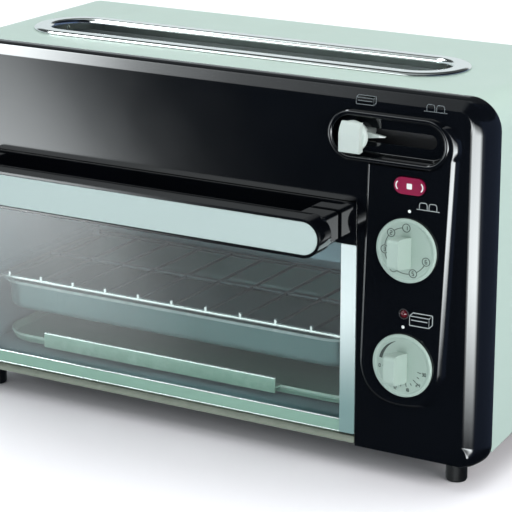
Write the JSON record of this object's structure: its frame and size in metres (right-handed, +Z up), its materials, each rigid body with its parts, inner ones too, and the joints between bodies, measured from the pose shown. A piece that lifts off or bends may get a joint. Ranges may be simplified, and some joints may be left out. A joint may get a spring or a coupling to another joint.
{
  "type": "toaster oven",
  "caption": "Countertop slot toaster and mini oven with a drop-down glass door, handle, knobs, slide selector, wire rack and trays.",
  "frame": {"origin": "on the table, in the middle of the object's footprint box", "axes": "+X to the right of a person facing the door, the door faces -Y, +Z up"},
  "size_m": [0.4, 0.197, 0.245],
  "materials": {
    "casing_paint": "satin silver-green metallic paint",
    "gloss_black": "high gloss",
    "matt_black": "fine texture",
    "foot_rubber": "matt",
    "slot_chrome": "polished",
    "rack_wire": "plated wire",
    "oven_steel": "satin",
    "plain_steel": "plain",
    "element_tube": "heat-darkened",
    "element_board": "mica sheet, matt",
    "tray_metal": "satin",
    "door_glass": "clear toughened",
    "silver_trim": "satin silver",
    "sage_plastic": "satin",
    "stop_red": "gloss",
    "lens_red": "translucent look",
    "circuit_green": "board"
  },
  "bodies": {
    "housing": {"outer_casing": "casing_paint", "back_panel": "casing_paint", "front_bezel": "gloss_black", "control_panel": "gloss_black", "selector_recess": "gloss_black", "base_plate": "matt_black", "browning_control": "matt_black", "timer_unit": "matt_black", "cord_inlet": "matt_black", "stop_switch": "matt_black", "foot_front_left": "foot_rubber", "foot_rear_left": "foot_rubber", "foot_front_right": "foot_rubber", "foot_rear_right": "foot_rubber", "slot_trim": "slot_chrome", "timer_bell": "slot_chrome", "oven_liner": "oven_steel", "oven_frame": "oven_steel", "tray_runner_left": "oven_steel", "tray_runner_right": "oven_steel", "toast_chamber": "plain_steel", "bread_guide_front": "plain_steel", "bread_guide_rear": "plain_steel", "control_bracket": "plain_steel", "heat_shield": "plain_steel", "selector_rail": "plain_steel", "lift_rail": "plain_steel", "back_screw_1": "plain_steel", "back_screw_2": "plain_steel", "back_screw_3": "plain_steel", "back_screw_4": "plain_steel", "grill_element_front": "element_tube", "grill_element_rear": "element_tube", "base_element_front": "element_tube", "base_element_rear": "element_tube", "toast_element_front": "element_board", "toast_element_rear": "element_board", "pilot_lens": "lens_red", "circuit_board": "circuit_green"},
    "door": {"door_top_frame": "gloss_black", "door_glass": "door_glass", "door_strip_right": "silver_trim", "door_strip_left": "silver_trim", "door_bottom_rail": "silver_trim", "door_handle": "gloss_black", "handle_inlay": "silver_trim", "hinge_pin_left": "plain_steel", "hinge_pin_right": "plain_steel", "handle_screw_left": "plain_steel", "handle_screw_right": "plain_steel"},
    "tray": {"baking_tray": "tray_metal", "wire_rack": "rack_wire"},
    "crumbs": {"crumb_tray": "tray_metal"},
    "selector": {"selector_knob": "sage_plastic"},
    "carriage": {"bread_carriage": "plain_steel"},
    "stop": {"stop_button": "stop_red"},
    "browning": {"browning_knob": "sage_plastic", "browning_shaft": "plain_steel"},
    "timer": {"timer_knob": "sage_plastic", "timer_shaft": "plain_steel"}
  },
  "joints": [
    {"name": "door_hinge", "type": "hinge", "parent": "housing", "child": "door", "pos_m": [-0.035, -0.0628, 0.0235], "axis": [1, 0, 0], "range_deg": [0, 82]},
    {"name": "tray_slide", "type": "slide", "parent": "housing", "child": "tray", "axis": [0, -1, 0], "range_m": [0, 0.072]},
    {"name": "crumb_slide", "type": "slide", "parent": "housing", "child": "crumbs", "axis": [0, -1, 0], "range_m": [0, 0.029]},
    {"name": "selector_slide", "type": "slide", "parent": "housing", "child": "selector", "axis": [1, 0, 0], "range_m": [0, 0.0395], "stiffness_N_per_m": 60, "springref_m": -0.05},
    {"name": "carriage_lift", "type": "slide", "parent": "housing", "child": "carriage", "axis": [0, 0, -1], "range_m": [0, 0.055]},
    {"name": "stop_press", "type": "slide", "parent": "housing", "child": "stop", "axis": [0, 1, 0], "range_m": [0, 0.003], "stiffness_N_per_m": 300},
    {"name": "browning_turn", "type": "hinge", "parent": "housing", "child": "browning", "pos_m": [0.1491, -0.073, 0.149], "axis": [0, 1, 0], "range_deg": [0, 250]},
    {"name": "timer_turn", "type": "hinge", "parent": "housing", "child": "timer", "pos_m": [0.1479, -0.073, 0.0765], "axis": [0, 1, 0], "range_deg": [0, 300]}
  ],
  "couplings": [
    {"joint": "tray_slide", "follows": "door_hinge", "m_per_rad": 0.05},
    {"joint": "crumb_slide", "follows": "door_hinge", "m_per_rad": 0.02},
    {"joint": "carriage_lift", "follows": "selector_slide", "ratio": 1.392}
  ]
}
